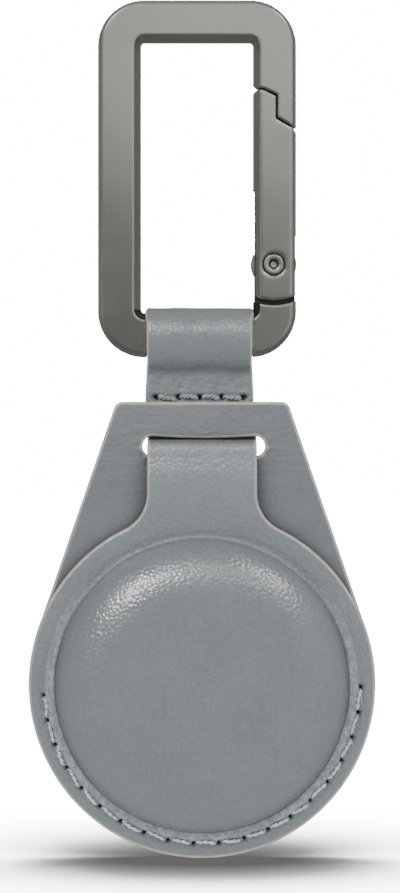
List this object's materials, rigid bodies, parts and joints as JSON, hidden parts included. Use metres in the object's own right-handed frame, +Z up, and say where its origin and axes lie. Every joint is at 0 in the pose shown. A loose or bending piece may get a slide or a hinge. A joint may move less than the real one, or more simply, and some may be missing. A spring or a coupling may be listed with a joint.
{
  "type": "tracker tag holder",
  "caption": "Moulded leather pouch for a round tracker tag, strapped to a rectangular snap hook with a sprung gate.",
  "frame": {"origin": "middle of the flat land under the snap hook's top bar, where the holder hangs", "axes": "+Z up along the length, -Y out of the moulded front, +X to the right seen from the front, towards the gate"},
  "size_m": [0.0412, 0.0162, 0.1024],
  "materials": {
    "hook": "dark gunmetal plating with a soft polish",
    "rivet": "dark gunmetal plating",
    "spring_steel": "drawn wire",
    "leather": "fine pebbled grain, slightly glossy",
    "lining": "short soft nap",
    "thread": "waxed twist"
  },
  "bodies": {
    "frame": {"hook_frame": "hook", "gate_rivet": "rivet"},
    "gate": {"hook_gate": "hook", "gate_spring": "spring_steel"},
    "plunger": {"gate_plunger": "spring_steel"},
    "strap": {"strap_loop": "leather", "strap_top_thread": "thread", "strap_bobbin_thread": "thread"},
    "yoke": {"yoke_facing": "leather", "yoke_backing": "leather", "neck_strap": "leather"},
    "pouch": {"front_panel": "leather", "front_lining": "lining", "back_facing": "leather", "back_backing": "leather", "pouch_top_thread": "thread", "pouch_bobbin_thread": "thread"}
  },
  "joints": [
    {"name": "gate_swing", "type": "hinge", "parent": "frame", "child": "gate", "pos_m": [0.00918, 0, -0.0266], "axis": [0, -1, 0], "range_deg": [0, 28], "stiffness_Nm_per_rad": 0.01, "springref_deg": -14.32},
    {"name": "plunger_slide", "type": "slide", "parent": "gate", "child": "plunger", "axis": [0, 0, 1], "range_m": [0, 0.000616], "deforming": ["gate_spring"]},
    {"name": "strap_swing", "type": "hinge", "parent": "frame", "child": "strap", "pos_m": [0, 0, -0.03535], "axis": [1, 0, 0], "range_deg": [-115, 160]},
    {"name": "yoke_slide", "type": "slide", "parent": "strap", "child": "yoke", "axis": [0, 0, 1], "range_m": [0, 0.0035], "deforming": ["neck_strap"]},
    {"name": "pocket_open", "type": "hinge", "parent": "yoke", "child": "pouch", "pos_m": [0, -0.00186, -0.0761], "axis": [1, 0, 0], "range_deg": [0, 14], "stiffness_Nm_per_rad": 0.01, "springref_deg": -5.73}
  ],
  "couplings": [
    {"joint": "gate_swing", "follows": "plunger_slide", "rad_per_m": 793},
    {"joint": "pocket_open", "follows": "yoke_slide", "rad_per_m": 69.8}
  ]
}
